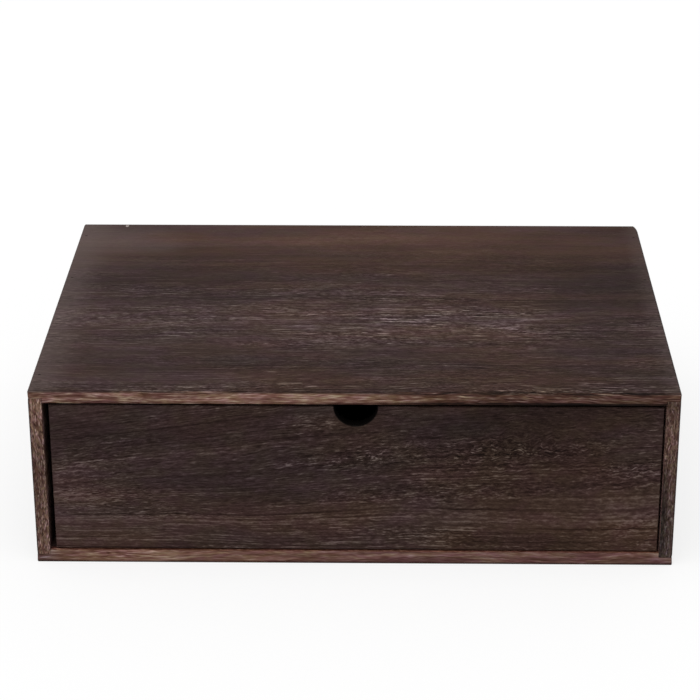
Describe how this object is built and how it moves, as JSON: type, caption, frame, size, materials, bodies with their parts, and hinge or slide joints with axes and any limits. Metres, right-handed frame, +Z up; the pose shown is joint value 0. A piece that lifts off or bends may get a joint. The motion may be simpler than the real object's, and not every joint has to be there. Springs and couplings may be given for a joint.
{
  "type": "desk drawer box",
  "caption": "Low dark wood desktop box with a full-width drawer for A4 paper and memo pads, pulled by a half-round finger notch in the drawer front.",
  "frame": {"origin": "on the surface it stands on, under the middle of the case", "axes": "+X to the right along the front, +Y to the back, +Z up; the drawer opens to -Y"},
  "size_m": [0.33, 0.24, 0.098],
  "materials": {
    "case_wood": "dark brown stain, satin, brushed open grain",
    "drawer_wood": "dark brown stain, satin, brushed open grain",
    "panel_wood": "thin stained sheet, satin",
    "steel_pin": "plain steel",
    "stained_pin": "steel under the dark stain"
  },
  "bodies": {
    "case": {"case_top": "case_wood", "case_bottom": "case_wood", "case_left_side": "case_wood", "case_right_side": "case_wood", "case_back": "case_wood", "case_top_pins": "stained_pin", "case_bottom_pins": "stained_pin", "back_panel_pins": "steel_pin"},
    "drawer": {"drawer_front": "drawer_wood", "drawer_left_side": "drawer_wood", "drawer_right_side": "drawer_wood", "drawer_back": "drawer_wood", "drawer_bottom": "panel_wood", "drawer_front_pins": "steel_pin", "drawer_back_pins": "steel_pin", "drawer_bottom_pins": "steel_pin"}
  },
  "joints": [
    {"name": "drawer_slide", "type": "slide", "parent": "case", "child": "drawer", "axis": [0, -1, 0], "range_m": [0, 0.18]}
  ]
}
